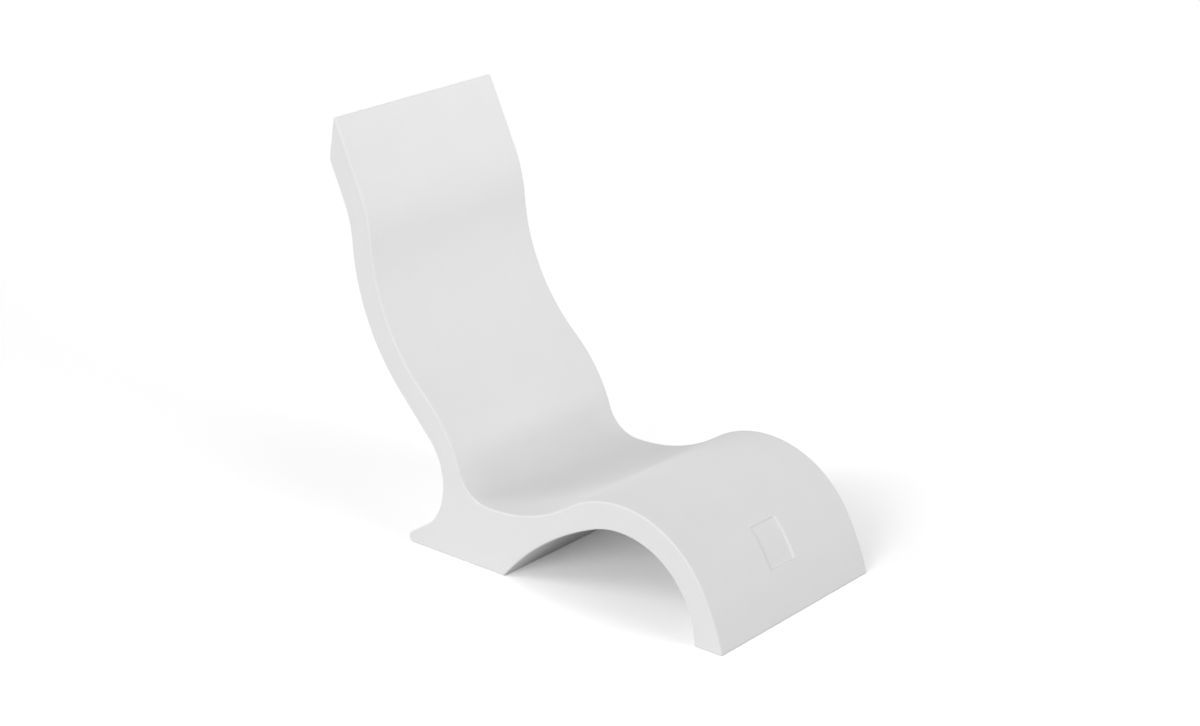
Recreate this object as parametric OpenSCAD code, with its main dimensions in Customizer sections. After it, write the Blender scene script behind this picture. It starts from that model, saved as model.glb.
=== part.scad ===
// A reclined lounger, moulded in one hollow piece and filled with water to hold it down.
// X is the width. The toe faces -Y and the headrest +Y. The floor is z = 0.
// Its side outline is a run of arcs, kept as poses: [y, z, heading in degrees].
// The outline is walked clockwise as seen from +X, so what lies to the left is outside.

/* [Overall] */
// Width across the side faces at floor level
body_w = 568; // [460:2:680]
// Lean of each side face towards the middle, in degrees
side_draft = 0.6; // [0:0.1:1.5]
// Thickness of the back and headrest, square to their faces
band_t = 64.5; // [54:0.5:80]
// Thickness over the top of the arch, under the knees
crown_t = 68; // [52:1:90]
// Thickness of the moulded wall
wall = 6; // [4:0.5:8]
// Radius along the edges of both side faces
edge_r = 4; // [3:0.5:12]

/* [Seat line from the toe to the knee] */
// Slope of the front at the floor, in degrees
toe_slope = 74.9; // [72:0.1:78]
// Radius of the shin rest
shin_r = 584; // [450:1:750]
// Turn of the shin rest, in degrees
shin_turn = 15.9; // [12:0.1:19]
// Radius of the knee
knee_r = 274; // [240:1:310]
// Turn of the knee, in degrees
knee_turn = 93.2; // [88:0.1:98]

/* [Seat line from the thigh to the head] */
// Radius of the thigh rest
thigh_r = 417; // [340:1:500]
// Turn of the thigh rest, in degrees
thigh_turn = 37.2; // [33:0.1:41]
// Radius of the seat's lowest corner
hip_r = 93; // [75:1:110]
// Turn of the seat's lowest corner, in degrees
hip_turn = 69; // [64:0.1:74]
// Radius of the lumbar rest
lumbar_r = 385; // [320:1:450]
// Turn of the lumbar rest, in degrees
lumbar_turn = 30.9; // [27:0.1:35]
// Radius of the shoulder hollow
shoulder_r = 483; // [420:1:550]
// Turn of the shoulder hollow, in degrees
shoulder_turn = 45.2; // [40:0.1:50]
// Radius of the neck rest
neck_r = 361; // [300:1:420]
// Turn of the neck rest, in degrees
neck_turn = 21.1; // [16:0.1:26]
// Length of the straight headrest
head_l = 196; // [180:1:240]
// How much lower down the headrest its rear face ends than its front face
end_cut_l = 95; // [60:1:110]

/* [Rear foot] */
// Turn of the shoulder hollow that the rear face leaves out, in degrees
small_turn = 5; // [0:0.5:10]
// Radius of the flare above the rear foot
flare_r = 160; // [140:1:180]
// Slope at the lower end of the flare, in degrees
flare_slope = 47.4; // [42:0.1:54]
// Height of the flare's lower end, where the crease begins
crease_h = 70; // [60:1:80]
// Radius of the crease between the flare and the tail
crease_r = 12; // [6:1:24]
// Slope of the tail, in degrees
tail_slope = 32.4; // [28:0.1:37]
// Radius of the tail's tip
tip_r = 15; // [8:0.5:18]

/* [Arch] */
// Radius of the arch under the knees
arch_r = 218.5; // [200:0.5:230]
// Slope at which the arch's long rear arc begins, in degrees
arch_slope = 21.1; // [15:0.1:26]
// Radius of the arch's long rear arc
arch_rear_r = 666; // [520:1:850]
// Radius of the heel where the arch meets the floor
heel_r = 6; // [4:0.5:14]
// Radius of the toe's inner lower edge
toe_inner_r = 6; // [4:0.5:14]
// Radius of the toe's outer lower edge
toe_outer_r = 4; // [3:0.5:8]
// Radius of the two edges of the headrest's end
end_r = 4; // [3:0.5:8]

/* [Front recess] */
// Width of the shallow bare recess in the shin rest
recess_w = 93; // [60:1:140]
// Height of the recess along the shin rest
recess_h = 110; // [70:1:130]
// Depth of the recess
recess_d = 4; // [1.5:0.5:6]
// Distance from the floor up the shin rest to the recess
recess_start = 120; // [90:1:150]
// Radius of the recess's corners
recess_corner_r = 4; // [2:0.5:10]

/* [Ports] */
// Radius of the round pocket that holds a plug's head
pocket_r = 27; // [25:0.5:32]
// Depth of the pocket
pocket_d = 12; // [10:0.5:16]
// Radius of the port, at the middle of its thread
port_r = 15; // [11:0.5:17]
// Lead of the thread: how far a plug travels in one turn
thread_pitch = 4; // [3:0.5:6]
// Length of the threaded insert
insert_l = 20; // [16:0.5:24]
// Wall of the threaded insert
insert_wall = 4; // [3:0.5:6]
// How far the insert's locking collar stands out
collar_out = 4; // [2:0.5:6]
// Thickness of the locking collar
collar_t = 4; // [3:0.5:6]
// Distance from the headrest's rear lower edge to the middle of the fill port
fill_drop = 51; // [45:1:60]
// Turn of the flare left below the middle of the drain port, in degrees
drain_turn = 14; // [10:0.5:30]

/* [Plugs] */
// Radius of a plug's head
head_r = 22; // [20:0.5:24]
// Thickness of a plug's head
head_t = 6; // [5:0.5:8]
// Chamfer round a plug's head
head_chamfer = 1.2; // [0.5:0.1:2]
// Width of the coin slot
slot_w = 4; // [2:0.5:6]
// Length of the coin slot
slot_l = 30; // [20:1:36]
// Depth of the coin slot
slot_d = 3; // [1.5:0.5:4]
// Number of finger notches round the head
notch_count = 12; // [6:1:18]
// Radius of a finger notch
notch_r = 2.4; // [1.5:0.1:3]
// Thickness of the flat gasket
gasket_t = 2.5; // [1.5:0.5:3]
// How far the gasket stays inside the head's rim
gasket_in = 1.5; // [1:0.5:3]
// Depth of the plug's thread
thread_depth = 1.2; // [0.6:0.1:2]

/* [Hidden] */
$fn = 64;
// Running gap between a plug's thread and its port
thread_gap = 0.1;
// Gap between an insert and the plastic that is moulded round it
mould_gap = 0.05;
// Gap between a gasket's bore and the plug
gasket_gap = 0.3;
// How far a plug's inner end stays inside the insert
shank_short = 0.5;
// Share of the thread's pitch from one corner of its ridge to the next
thread_step_share = 0.2;
// How far cuts run past the faces that they open
overrun = 10;
// How far a flat may stand off the arc that it follows
arc_rise = 0.25;
// Largest turn between two flats of a rounded corner, in degrees
corner_step = 25;
// Steps in the quarter turn of a side edge
edge_steps = 4;
// Smallest radius and area that an outline keeps
least_r = 0.4;
least_area = 0.01;

// The pose a length ahead, and the pose after part of an arc
function ahead(pose, length) =
    [pose[0] + length * cos(pose[2]), pose[1] + length * sin(pose[2]), pose[2]];
function bent(pose, r, turn) =
    let (side = sign(turn), to = pose[2] + turn)
    [pose[0] + side * r * (sin(to) - sin(pose[2])),
     pose[1] + side * r * (cos(pose[2]) - cos(to)), to];
// The pose a length to the right, which is inwards
function inward(pose, length) =
    [pose[0] + length * sin(pose[2]), pose[1] - length * cos(pose[2]), pose[2]];
function turned_back(pose) = [pose[0], pose[1], pose[2] + 180];

// A move is [radius, turn], or [length, 0] for a straight run
function moved(pose, move, share = 1) =
    move[1] == 0 ? ahead(pose, move[0] * share) : bent(pose, move[0], move[1] * share);
function move_length(move) = move[1] == 0 ? move[0] : move[0] * abs(move[1]) * PI / 180;
function arc_steps(r, turn) = ceil(abs(turn) / (2 * acos(1 - arc_rise / r)));
function move_steps(move) = move[1] == 0 ? 1 : arc_steps(move[0], move[1]);
function walk(pose, moves, i = 0) =
    i == len(moves) ? [] :
    let (n = move_steps(moves[i]))
    concat([for (k = [1:n]) moved(pose, moves[i], k / n)],
           walk(moved(pose, moves[i]), moves, i + 1));
function walk_end(pose, moves, i = 0) =
    i == len(moves) ? pose : walk_end(moved(pose, moves[i]), moves, i + 1);
function pose_along(pose, moves, length, i = 0) =
    let (own = move_length(moves[i]))
    length <= own || i == len(moves) - 1
        ? moved(pose, moves[i], length / own)
        : pose_along(moved(pose, moves[i]), moves, length - own, i + 1);
function arc_about(centre, r, from, to) =
    let (n = arc_steps(r, to - from))
    [for (k = [0:n]) let (a = from + (to - from) * k / n) centre + r * [cos(a), sin(a)]];

// Seat line, from the toe to the top edge of the headrest
toe = [0, 0, toe_slope];
shin_move = [shin_r, -shin_turn];
knee_move = [knee_r, -knee_turn];
neck_moves = [
    shin_move, knee_move, [thigh_r, thigh_turn], [hip_r, hip_turn],
    [lumbar_r, -lumbar_turn], [shoulder_r, shoulder_turn], [neck_r, -neck_turn]
];
seat_line = walk(toe, neck_moves);
neck_end = walk_end(toe, neck_moves);
head_top = ahead(neck_end, head_l);

// Rear line, from the headrest down to the floor, beside the seat line as far as the shoulder
back_top = turned_back(inward(ahead(neck_end, head_l - end_cut_l), band_t));
back_moves = [
    [head_l - end_cut_l, 0],
    [neck_r - band_t, neck_turn],
    [shoulder_r + band_t, small_turn - shoulder_turn]
];
// Then straight down to the height where the flare begins
small_top = walk_end(back_top, back_moves);
flare_drop = flare_r * (cos(flare_slope) - cos(small_top[2]));
flare_top = ahead(small_top, (crease_h + flare_drop - small_top[1]) / sin(small_top[2]));
flare_move = [flare_r, 360 - flare_slope - flare_top[2]];
tail_moves = [flare_move, [crease_r, flare_slope - tail_slope]];
tail_top = walk_end(flare_top, tail_moves);
tail_tip = ahead(tail_top, tail_top[1] / sin(tail_slope));
back_line = concat(walk(back_top, back_moves), [flare_top], walk(flare_top, tail_moves));

// Arch, from the heel over to the toe, centred under the knee
knee_start = moved(toe, shin_move);
knee_centre = inward(knee_start, knee_r);
arch_centre = [knee_centre[0], knee_centre[1] + knee_r - crown_t - arch_r];
arch_meet = 90 - arch_slope;
arch_rear_centre = arch_centre - (arch_rear_r - arch_r) * [cos(arch_meet), sin(arch_meet)];
arch_rear = arc_about(arch_rear_centre, arch_rear_r,
                      asin(-arch_rear_centre[1] / arch_rear_r), arch_meet);
arch_front = arc_about(arch_centre, arch_r, arch_meet, 180 - asin(-arch_centre[1] / arch_r));
heel = arch_rear[0];
toe_inner = arch_front[len(arch_front) - 1];

// The whole outline, each point as [y, z, radius of its corner]
function smooth(points, first, last) = [for (i = [first:last]) [points[i][0], points[i][1], 0]];
side_path = concat(
    [[toe[0], toe[1], toe_outer_r]],
    smooth(seat_line, 0, len(seat_line) - 1),
    [[head_top[0], head_top[1], end_r], [back_top[0], back_top[1], end_r]],
    smooth(back_line, 0, len(back_line) - 1),
    [[tail_tip[0], tail_tip[1], tip_r], [heel[0], heel[1], heel_r]],
    smooth(arch_rear, 1, len(arch_rear) - 1),
    smooth(arch_front, 1, len(arch_front) - 2),
    [[toe_inner[0], toe_inner[1], toe_inner_r]]
);
path_count = len(side_path);
function path_point(i) = let (p = side_path[(i + path_count) % path_count]) [p[0], p[1]];
function direction(i) =
    let (v = path_point(i + 1) - path_point(i)) v / norm(v);
function right_of(v) = [v[1], -v[0]];

// A path point moved inwards so that both of its edges move by inset
function inset_point(i, inset) =
    let (a = right_of(direction(i - 1)), b = right_of(direction(i)))
    path_point(i) + inset * (a + b) / (1 + a * b);
function rounded_corner(i, inset) =
    let (a = direction(i - 1), b = direction(i),
         r = max(side_path[i][2] - inset, least_r),
         turn = acos(a * b),
         centre = inset_point(i, inset) - a * r * tan(turn / 2) + right_of(a) * r,
         start = atan2(a[0], -a[1]),
         n = ceil(turn / corner_step))
    [for (k = [0:n]) let (t = start - turn * k / n) centre + r * [cos(t), sin(t)]];
function outline(inset) =
    [for (i = [0:path_count - 1])
        each (side_path[i][2] == 0 ? [inset_point(i, inset)] : rounded_corner(i, inset))];

// The middle of the footprint lies at y = 0
full_outline = outline(0);
outline_count = len(full_outline);
outline_ys = [for (p = full_outline) p[0]];
middle_y = (min(outline_ys) + max(outline_ys)) / 2;

// Triangles that fill a flat outline, cut off it one corner at a time
function twice_area(a, b, c) =
    (b[0] - a[0]) * (c[1] - a[1]) - (b[1] - a[1]) * (c[0] - a[0]);
function holds(a, b, c, p) =
    twice_area(a, b, p) <= 0 && twice_area(b, c, p) <= 0 && twice_area(c, a, p) <= 0;
function corner_at(left, k) = let (n = len(left)) [left[(k + n - 1) % n], left[k], left[(k + 1) % n]];
function is_ear(points, left, k) =
    let (n = len(left), c = corner_at(left, k),
         p = points[c[0]], q = points[c[1]], r = points[c[2]])
    twice_area(p, q, r) < -least_area &&
    len([for (j = [2:n - 2]) if (holds(p, q, r, points[left[(k + j) % n]])) j]) == 0;
function first_ear(points, left, k = 0) =
    is_ear(points, left, k) ? k : first_ear(points, left, k + 1);
function ears(points, left) =
    len(left) == 3 ? [left] :
    let (k = first_ear(points, left))
    concat([corner_at(left, k)],
           ears(points, [for (j = [0:len(left) - 1]) if (j != k) left[j]]));

// A solid across the width from layers of [inset, depth below the side face]
module across(layers) {
    count = len(layers);
    insets = [for (l = layers) outline(l[0])];
    function layer_points(k, side) =
        [for (p = insets[k])
            [side * (body_w / 2 - layers[k][1] - p[1] * tan(side_draft)), p[0] - middle_y, p[1]]];
    points = concat(
        [for (k = [0:count - 1]) each layer_points(k, -1)],
        [for (k = [count - 1:-1:0]) each layer_points(k, 1)]
    );
    last = (2 * count - 1) * outline_count;
    caps = ears(insets[0], [for (i = [0:outline_count - 1]) i]);
    skin = [for (k = [0:2 * count - 2], i = [0:outline_count - 1])
        let (a = k * outline_count + i,
             b = k * outline_count + (i + 1) % outline_count)
        each [[a, b, a + outline_count], [b, b + outline_count, a + outline_count]]];
    polyhedron(
        points = points,
        faces = concat(
            skin,
            [for (t = caps) [t[0], t[2], t[1]]],
            [for (t = caps) [last + t[0], last + t[1], last + t[2]]]
        ),
        convexity = 6
    );
}

// Children stand on the outline at a pose, with +Z pointing out of the body
module at_pose(pose) {
    translate([0, pose[0] - middle_y, pose[1]]) rotate([pose[2], 0, 0]) children();
}

// Where the two ports and the recess are
fill_pose = ahead(back_top, head_l - end_cut_l - fill_drop);
drain_pose = bent(flare_top, flare_r, flare_move[1] - drain_turn);
recess_pose = pose_along(toe, neck_moves, recess_start + recess_h / 2);

insert_r = port_r + insert_wall;
collar_r = insert_r + collar_out;
collar_top = (insert_l - collar_t) / 2;
shank_r = port_r - thread_gap;
root_r = shank_r - thread_depth;
shank_l = gasket_t + insert_l - shank_short;

// Plastic left solid inside the cavity round a port
module port_boss() {
    translate([0, 0, -pocket_d - wall]) cylinder(r = pocket_r + wall, h = pocket_d + wall + overrun);
    translate([0, 0, -pocket_d - insert_l]) cylinder(r = collar_r + wall, h = pocket_d + insert_l);
}

// The pocket, the insert's seat and the groove for its collar
module port_cut() {
    translate([0, 0, -pocket_d]) cylinder(r = pocket_r, h = pocket_d + overrun);
    translate([0, 0, -pocket_d - insert_l - overrun])
        cylinder(r = insert_r + mould_gap, h = insert_l + 2 * overrun);
    translate([0, 0, -pocket_d - collar_top - collar_t])
        cylinder(r = collar_r + mould_gap, h = collar_t);
}

// A rounded rectangle with true corners, centred
module rounded_rect(w, h, r) {
    square([w - 2 * r, h], center = true);
    square([w, h - 2 * r], center = true);
    for (x = [-1, 1], y = [-1, 1])
        translate([x * (w / 2 - r), y * (h / 2 - r)]) circle(r = r);
}

// The recess's space, grown inwards by a margin: its floor follows the shin rest, and its
// walls draw straight out
module recess_space(margin) {
    low = recess_start - overrun;
    high = recess_start + recess_h + overrun;
    n = arc_steps(knee_r, (high - low) / knee_r * 180 / PI);
    floor_poses = [for (k = [0:n]) pose_along(toe, neck_moves, low + (high - low) * k / n)];
    intersection() {
        rotate([90, 0, 90])
            translate([-middle_y, 0, -recess_w / 2 - overrun])
                linear_extrude(recess_w + 2 * overrun)
                    polygon(concat(
                        [for (p = floor_poses)
                            let (q = inward(p, recess_d + margin)) [q[0], q[1]]],
                        [for (k = [n:-1:0]) let (q = inward(floor_poses[k], -overrun)) [q[0], q[1]]]
                    ));
        at_pose(recess_pose)
            translate([0, 0, -3 * overrun])
                linear_extrude(5 * overrun)
                    rounded_rect(recess_w + 2 * margin, recess_h + 2 * margin,
                                 recess_corner_r + margin);
    }
}

module body_shell() {
    edge_layers = [for (k = [0:edge_steps]) let (a = 90 * k / edge_steps)
        [edge_r * (1 - sin(a)), edge_r * (1 - cos(a))]];
    color("#e4e4e2")
        difference() {
            across(edge_layers);
            difference() {
                across([[wall, wall]]);
                at_pose(fill_pose) port_boss();
                at_pose(drain_pose) port_boss();
                recess_space(wall);
            }
            at_pose(fill_pose) port_cut();
            at_pose(drain_pose) port_cut();
            recess_space(0);
        }
}

// A threaded sleeve with a locking collar, its outer end flush with the pocket's floor
module port_insert() {
    color("#b99a56")
        translate([0, 0, -pocket_d - insert_l])
            difference() {
                union() {
                    cylinder(r = insert_r, h = insert_l);
                    translate([0, 0, insert_l - collar_top - collar_t])
                        cylinder(r = collar_r, h = collar_t);
                }
                translate([0, 0, -overrun]) cylinder(r = port_r, h = insert_l + 2 * overrun);
            }
}

module plug_gasket() {
    color("#3a3a3c")
        translate([0, 0, -pocket_d])
            difference() {
                cylinder(r = head_r - gasket_in, h = gasket_t);
                translate([0, 0, -overrun])
                    cylinder(r = root_r + gasket_gap, h = gasket_t + 2 * overrun);
            }
}

// Half of the plug seen from the side: a chamfered head over a row of ridges, one for each
// turn of the thread, from the plain neck in the gasket down to the inner end
module plug_profile() {
    ridges = floor((shank_l - gasket_t) / thread_pitch);
    polygon(concat(
        [[0, head_t], [0, -shank_l], [root_r, -shank_l]],
        [for (k = [ridges - 1:-1:0], step = [4:-1:1])
            [step == 4 || step == 1 ? root_r : shank_r,
             -gasket_t - thread_pitch * (k + step * thread_step_share)]],
        [[root_r, 0], [head_r, 0], [head_r, head_t - head_chamfer],
         [head_r - head_chamfer, head_t]]
    ));
}

// A plug: head with finger notches and a coin slot, and a threaded shank
module port_plug() {
    color("#d2d2d0")
        translate([0, 0, -pocket_d + gasket_t])
            difference() {
                rotate_extrude() plug_profile();
                for (k = [0:notch_count - 1])
                    rotate([0, 0, 360 * k / notch_count])
                        translate([head_r + notch_r / 2, 0, -overrun])
                            cylinder(r = notch_r, h = head_t + 2 * overrun);
                translate([-slot_l / 2, -slot_w / 2, head_t - slot_d])
                    cube([slot_l, slot_w, slot_d + overrun]);
            }
}

module fill_port_insert() { at_pose(fill_pose) port_insert(); }
module fill_plug_gasket() { at_pose(fill_pose) plug_gasket(); }
module fill_plug() { at_pose(fill_pose) port_plug(); }
module drain_port_insert() { at_pose(drain_pose) port_insert(); }
module drain_plug_gasket() { at_pose(drain_pose) plug_gasket(); }
module drain_plug() { at_pose(drain_pose) port_plug(); }

body_shell();
fill_port_insert();
fill_plug_gasket();
fill_plug();
drain_port_insert();
drain_plug_gasket();
drain_plug();
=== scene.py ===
"""The looks of a moulded, water-ballasted spa lounger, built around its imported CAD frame.

The shell is drawn again from the sizes of its side outline, with true round edges, and the
plugs get a real screw thread. Lengths are in metres, in the frame of the CAD part: X across
the width, Y from the toe to the headrest, Z up from the floor.
"""
from math import acos, asin, atan2, ceil, copysign, cos, hypot, pi, radians, sin, sqrt, tan

import bmesh
import bpy
from bpy.props import FloatProperty, FloatVectorProperty, IntProperty, PointerProperty
from bpy.types import Operator, Panel, PropertyGroup
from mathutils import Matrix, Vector


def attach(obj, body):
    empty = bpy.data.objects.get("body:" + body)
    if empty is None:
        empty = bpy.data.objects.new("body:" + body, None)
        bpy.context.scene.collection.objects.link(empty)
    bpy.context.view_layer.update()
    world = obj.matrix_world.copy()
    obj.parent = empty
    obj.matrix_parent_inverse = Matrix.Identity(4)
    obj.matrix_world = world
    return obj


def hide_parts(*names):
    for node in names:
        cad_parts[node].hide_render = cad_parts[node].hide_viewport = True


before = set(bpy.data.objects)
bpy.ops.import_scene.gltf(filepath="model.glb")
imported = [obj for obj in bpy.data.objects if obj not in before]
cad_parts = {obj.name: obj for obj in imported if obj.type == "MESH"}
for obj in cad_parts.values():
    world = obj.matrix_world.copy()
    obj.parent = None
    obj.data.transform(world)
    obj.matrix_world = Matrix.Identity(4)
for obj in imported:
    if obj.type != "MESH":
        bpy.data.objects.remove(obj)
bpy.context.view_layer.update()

bl_info = {
    "name": "Moulded Spa Lounger",
    "version": (1, 0, 0),
    "blender": (4, 5, 0),
    "location": "View3D > Sidebar > Lounger",
    "description": "Builds a moulded spa lounger with its ballast plugs around a CAD frame",
    "category": "Add Mesh",
}

MM = 0.001
SAME = 1e-6  # points nearer than this are one


# Sizes and colours that a user would change


def linear(code):
    """An sRGB hex colour as linear red, green and blue."""
    parts = [int(code[i:i + 2], 16) / 255 for i in (1, 3, 5)]
    return [p / 12.92 if p <= 0.04045 else ((p + 0.055) / 1.055) ** 2.4 for p in parts]


def length(name, millimetres, description):
    return FloatProperty(name=name, description=description, default=millimetres * MM,
                         unit="LENGTH", precision=4)


def angle(name, in_degrees, description):
    return FloatProperty(name=name, description=description, default=radians(in_degrees),
                         subtype="ANGLE")


def colour(name, code, description):
    return FloatVectorProperty(name=name, description=description, default=linear(code),
                               subtype="COLOR", min=0, max=1)


class ShellSizes(PropertyGroup):
    """The shell's side outline, as the CAD part has it."""

    body_w: length("Width", 568, "Width across the side faces at floor level")
    side_draft: angle("Side draft", 0.6, "Lean of each side face towards the middle")
    band_t: length("Back thickness", 64.5, "Thickness of the back and headrest")
    crown_t: length("Knee thickness", 68, "Thickness over the top of the arch")
    edge_r: length("Side edge radius", 4, "Radius along the edges of both side faces")
    toe_slope: angle("Toe slope", 74.9, "Slope of the front at the floor")
    shin_r: length("Shin radius", 584, "Radius of the shin rest")
    shin_turn: angle("Shin turn", 15.9, "Turn of the shin rest")
    knee_r: length("Knee radius", 274, "Radius of the knee")
    knee_turn: angle("Knee turn", 93.2, "Turn of the knee")
    thigh_r: length("Thigh radius", 417, "Radius of the thigh rest")
    thigh_turn: angle("Thigh turn", 37.2, "Turn of the thigh rest")
    hip_r: length("Hip radius", 93, "Radius of the seat's lowest corner")
    hip_turn: angle("Hip turn", 69, "Turn of the seat's lowest corner")
    lumbar_r: length("Lumbar radius", 385, "Radius of the lumbar rest")
    lumbar_turn: angle("Lumbar turn", 30.9, "Turn of the lumbar rest")
    shoulder_r: length("Shoulder radius", 483, "Radius of the shoulder hollow")
    shoulder_turn: angle("Shoulder turn", 45.2, "Turn of the shoulder hollow")
    neck_r: length("Neck radius", 361, "Radius of the neck rest")
    neck_turn: angle("Neck turn", 21.1, "Turn of the neck rest")
    head_l: length("Headrest length", 196, "Length of the straight headrest")
    end_cut_l: length("Headrest end cut", 95, "How much lower its rear face ends than its front")
    small_turn: angle("Back turn left out", 5, "Turn that the rear face leaves out")
    crease_h: length("Crease height", 70, "Height at which the flare ends")
    flare_r: length("Flare radius", 160, "Radius of the flare above the rear foot")
    flare_slope: angle("Flare slope", 47.4, "Slope at the lower end of the flare")
    crease_r: length("Crease radius", 12, "Radius of the crease above the tail")
    tail_slope: angle("Tail slope", 32.4, "Slope of the tail")
    tip_r: length("Tail tip radius", 15, "Radius of the tail's tip")
    arch_r: length("Arch radius", 218.5, "Radius of the arch under the knees")
    arch_slope: angle("Arch slope", 21.1, "Slope at which the arch's long rear arc begins")
    arch_rear_r: length("Rear arch radius", 666, "Radius of the arch's long rear arc")
    heel_r: length("Heel radius", 6, "Radius of the heel where the arch meets the floor")
    toe_inner_r: length("Inner toe radius", 6, "Radius of the toe's inner lower edge")
    toe_outer_r: length("Outer toe radius", 4, "Radius of the toe's outer lower edge")
    end_r: length("Headrest end radius", 4, "Radius of the two edges of the headrest's end")


class RecessSizes(PropertyGroup):
    """The shallow bare recess in the shin rest."""

    width: length("Width", 93, "Width of the recess")
    height: length("Height", 110, "Height of the recess along the shin rest")
    depth: length("Depth", 4, "Depth of the recess")
    start: length("Start", 120, "Distance from the floor up the shin rest to the recess")
    corner_r: length("Corner radius", 4, "Radius of the recess's corners")
    lip_r: length("Lip radius", 2, "Rounding of the recess's upper edge")
    root_r: length("Root radius", 2, "Rounding at the foot of the recess's walls")


class PortSizes(PropertyGroup):
    """The pockets, threaded inserts, gaskets and plugs of both ports."""

    pocket_r: length("Pocket radius", 27, "Radius of the pocket that holds a plug's head")
    pocket_d: length("Pocket depth", 12, "Depth of the pocket")
    pocket_lip: length("Pocket lip", 1.6, "Rounding of the pocket's mouth")
    pocket_root: length("Pocket root", 1, "Rounding at the foot of the pocket's wall")
    port_r: length("Port radius", 15, "Nominal outer radius of the port's thread")
    thread_pitch: length("Thread lead", 4, "How far a plug travels in one turn")
    thread_depth: length("Thread depth", 1.2, "Depth of the plug's thread")
    thread_gap: length("Thread gap", 0.2, "How far the insert's thread is cut past that radius")
    insert_l: length("Insert length", 20, "Length of the threaded insert")
    insert_wall: length("Insert wall", 4, "Wall of the threaded insert")
    collar_out: length("Collar", 4, "How far the insert's locking collar stands out")
    collar_t: length("Collar thickness", 4, "Thickness of the locking collar")
    wall: length("Port wall", 1, "Plastic left under the insert's inner end")
    chamber_r: length("Chamber radius", 24, "Radius of the ballast chamber behind a port")
    chamber_d: length("Chamber depth", 56, "How far in the chamber's far wall is")
    fill_drop: length("Fill port drop", 51, "From the headrest's rear lower edge to the port")
    drain_turn: angle("Drain port turn", 14, "Turn of the flare left below the drain port")
    head_r: length("Head radius", 22, "Radius of a plug's head")
    head_t: length("Head thickness", 6, "Thickness of a plug's head")
    head_lip: length("Head edge", 1.2, "Rounding of the head's edge")
    slot_w: length("Slot width", 4, "Width of the coin slot")
    slot_l: length("Slot length", 30, "Length of the coin slot")
    slot_d: length("Slot depth", 3, "Depth of the coin slot")
    notch_count: IntProperty(name="Notches", description="Finger notches round the head",
                             default=12, min=0)
    notch_r: length("Notch radius", 2.4, "Radius of a finger notch")
    gasket_t: length("Gasket thickness", 2.5, "Thickness of the flat gasket")
    gasket_in: length("Gasket inset", 1.5, "How far the gasket stays inside the head's rim")
    gasket_gap: length("Gasket gap", 0.3, "Gap between the gasket's bore and the plug's neck")


class FinishColours(PropertyGroup):
    """The colours of the moulded, turned and rubber pieces."""

    shell: colour("Shell", "#EAEAEA", "Polyethylene of the shell")
    shell_shade: colour("Shell mottle", "#E7E7E7", "Slightly denser polyethylene in the mottle")
    plug: colour("Plug", "#DADAD9", "Moulded plug")
    brass: colour("Brass", "#C2A265", "Turned brass of the inserts")
    rubber: colour("Rubber", "#2B2B2D", "Gasket rubber")
    floor: colour("Floor", "#D8D8D8", "Floor, as its light falls on the object")


class StudioSettings(PropertyGroup):
    """Camera and light."""

    azimuth: angle("Camera azimuth", -50, "Angle of the camera round the object")
    elevation: angle("Camera elevation", 20.63, "Angle of the camera above the horizon")
    distance: length("Camera distance", 6296, "From the camera to the point that it looks at")
    focal: FloatProperty(name="Focal length", description="Lens on a 36 mm wide sensor",
                         default=77.19, unit="CAMERA")


GROUPS = {
    "lounger_shell": ShellSizes,
    "lounger_recess": RecessSizes,
    "lounger_ports": PortSizes,
    "lounger_colours": FinishColours,
    "lounger_studio": StudioSettings,
}


# The side outline: poses (y, z, heading), walked clockwise as seen from +X


def ahead(pose, run):
    return pose[0] + run * cos(pose[2]), pose[1] + run * sin(pose[2]), pose[2]


def bent(pose, radius, turn):
    to, side = pose[2] + turn, copysign(radius, turn)
    return pose[0] + side * (sin(to) - sin(pose[2])), pose[1] + side * (cos(pose[2]) - cos(to)), to


def inward(pose, run):
    return pose[0] + run * sin(pose[2]), pose[1] - run * cos(pose[2]), pose[2]


def run_of(move):
    """The length of a move: (radius, turn), or (length, 0) for a straight run."""
    return move[0] * abs(move[1]) if move[1] else move[0]


def moved(pose, move, share=1):
    return bent(pose, move[0], move[1] * share) if move[1] else ahead(pose, move[0] * share)


def pose_along(start, moves, run):
    for move in moves[:-1]:
        if run <= run_of(move):
            return moved(start, move, run / run_of(move))
        run -= run_of(move)
        start = moved(start, move)
    return moved(start, moves[-1], run / run_of(moves[-1]))


def end_of(start, moves):
    return pose_along(start, moves, sum(run_of(m) for m in moves))


class Chain:
    """Moves that follow each other smoothly from a pose, with rows of points along them."""

    RISE = 0.02 * MM  # how far a flat may stand off the arc that it follows
    CLEAR = 2 * MM  # how far the chain's own rows stay off a corner and a window

    def __init__(self, start, moves, trims):
        self.start, self.moves, self.trims = start, moves, trims
        self.run = sum(run_of(m) for m in moves)
        self.windows = []

    def at(self, run):
        return pose_along(self.start, self.moves, run)

    def open_window(self, rows):
        """Gives the chain these rows, and no others between the first and the last."""
        self.windows.append(rows)

    def rows(self):
        """Distances along the chain at which it has a row of points."""
        found, done = [], 0
        for move in self.moves:
            own = run_of(move)
            flats = ceil(own / (2 * acos(1 - self.RISE / move[0]) * move[0])) if move[1] else 1
            found += [done + own * k / flats for k in range(flats + 1)]
            done += own
        spare = [(0, self.trims[0]), (self.run - self.trims[1], self.run)]
        spare += [(w[0], w[-1]) for w in self.windows]
        kept = [r for r in found
                if not any(a - self.CLEAR < r < b + self.CLEAR for a, b in spare)]
        kept += [r for w in self.windows for r in w]
        kept.sort()
        return [r for k, r in enumerate(kept) if k == 0 or r - kept[k - 1] > SAME]


def heading(a, b):
    return atan2(b[1] - a[1], b[0] - a[0])


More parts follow.
